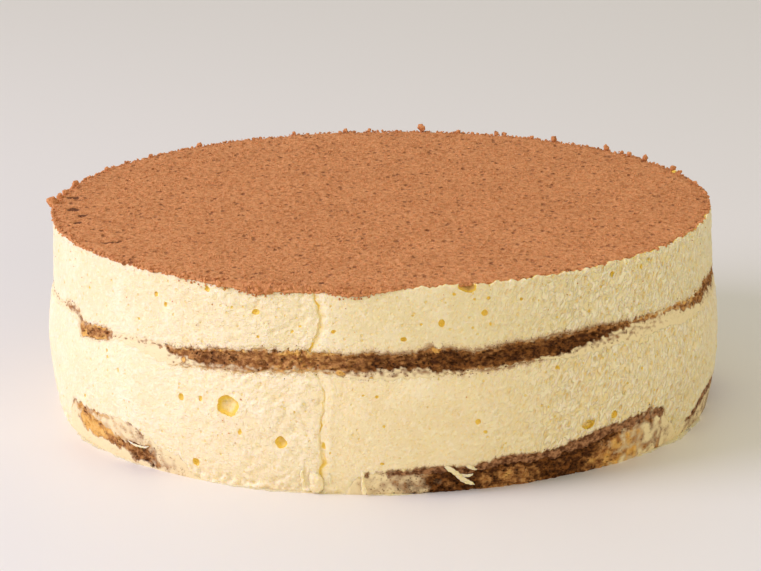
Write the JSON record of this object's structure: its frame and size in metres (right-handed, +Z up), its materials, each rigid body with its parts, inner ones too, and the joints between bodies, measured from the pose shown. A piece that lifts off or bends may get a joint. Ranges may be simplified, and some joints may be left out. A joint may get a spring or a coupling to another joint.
{
  "type": "tiramisu cake",
  "caption": "Round tiramisu cake of soaked sponges between deep creams, dusted with cocoa, resting on its flat underside.",
  "frame": {"origin": "centre of the flat underside, on the surface that the cake stands on", "axes": "+Z up through the layers; -Y is the front, the side that the picture shows; +X is to the right of it"},
  "size_m": [0.2478, 0.2478, 0.0755],
  "materials": {
    "cocoa": "dry matt powder",
    "mascarpone": "soft satin cream with open air bubbles",
    "soaked_sponge": "damp open crumb"
  },
  "bodies": {
    "root": {"base_sponge": "soaked_sponge", "lower_cream": "mascarpone", "middle_sponge": "soaked_sponge", "upper_cream": "mascarpone", "cocoa_dusting": "cocoa"}
  },
  "joints": []
}
